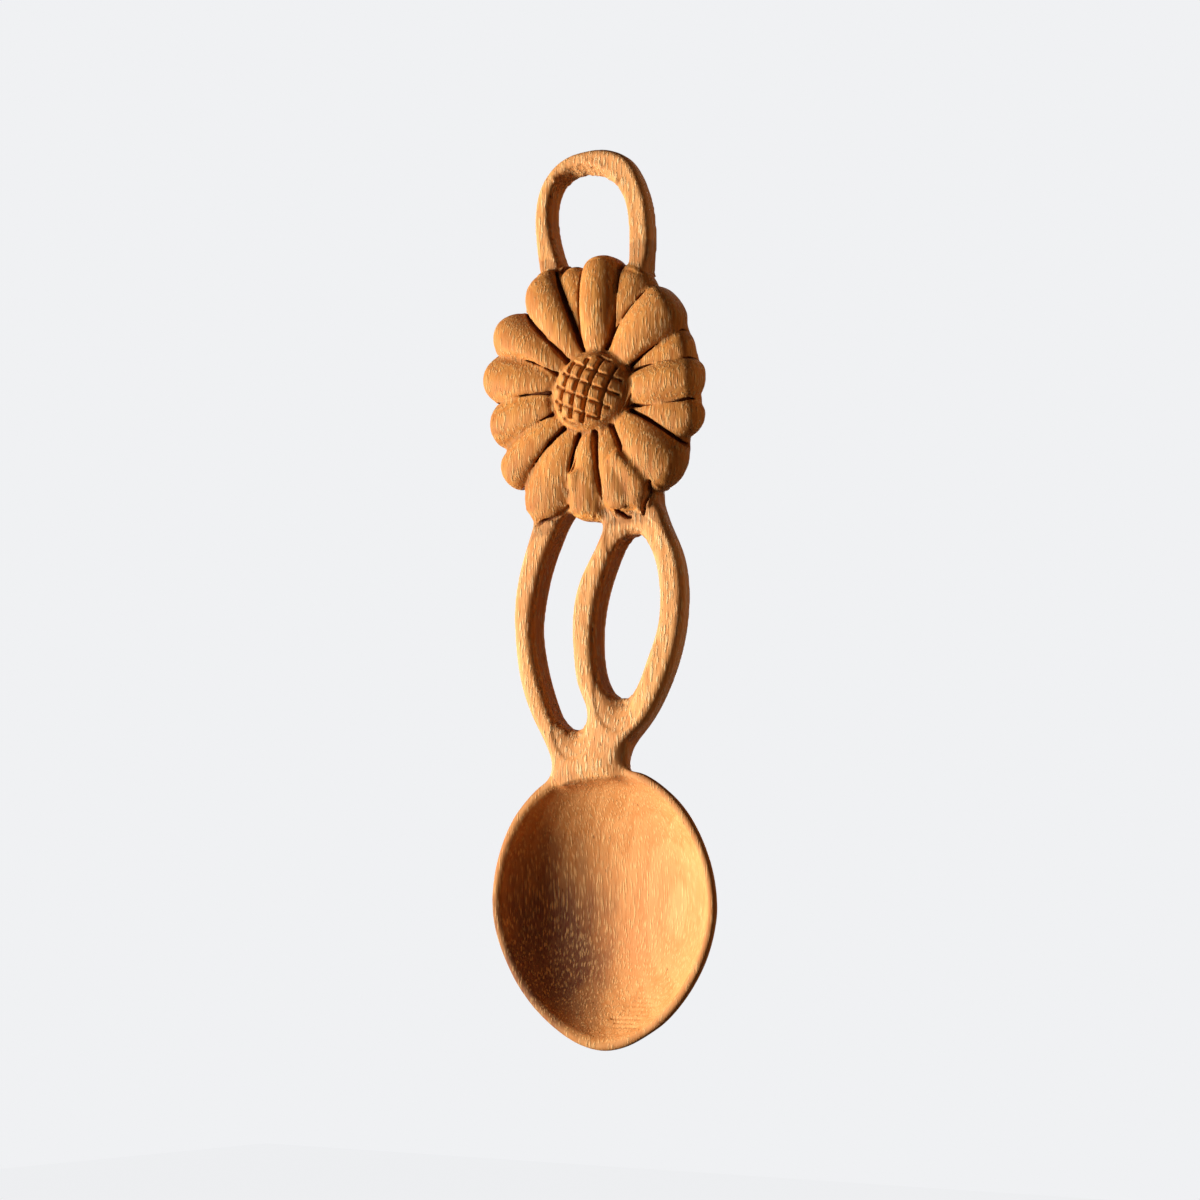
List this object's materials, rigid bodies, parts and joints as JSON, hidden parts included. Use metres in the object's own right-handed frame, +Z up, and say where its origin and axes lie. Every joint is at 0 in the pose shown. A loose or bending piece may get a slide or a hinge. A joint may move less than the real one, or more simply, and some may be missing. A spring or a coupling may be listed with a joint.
{
  "type": "love spoon",
  "caption": "Carved wooden spoon with a hanging loop, a daisy with a cross-hatched disc, open looping stems and an egg-shaped bowl; hangs on a wall as an ornament.",
  "frame": {"origin": "level with the top of the hole in the hanging loop, on the loop's middle line, on the flat back of the billet", "axes": "+X to the viewer's right, +Z up along the spoon as it hangs, front faces -Y"},
  "size_m": [0.0558, 0.0189, 0.1797],
  "materials": {
    "wood": "hand carved, oiled"
  },
  "bodies": {
    "root": {"hanging_loop": "wood", "flower_back": "wood", "petal_01": "wood", "petal_02": "wood", "petal_03": "wood", "petal_04": "wood", "petal_05": "wood", "petal_06": "wood", "petal_07": "wood", "petal_08": "wood", "petal_09": "wood", "petal_10": "wood", "petal_11": "wood", "petal_12": "wood", "petal_13": "wood", "petal_14": "wood", "petal_15": "wood", "petal_16": "wood", "disc_border": "wood", "flower_disc": "wood", "stem_left": "wood", "stem_middle": "wood", "stem_right": "wood", "neck": "wood", "bowl": "wood"}
  },
  "joints": []
}
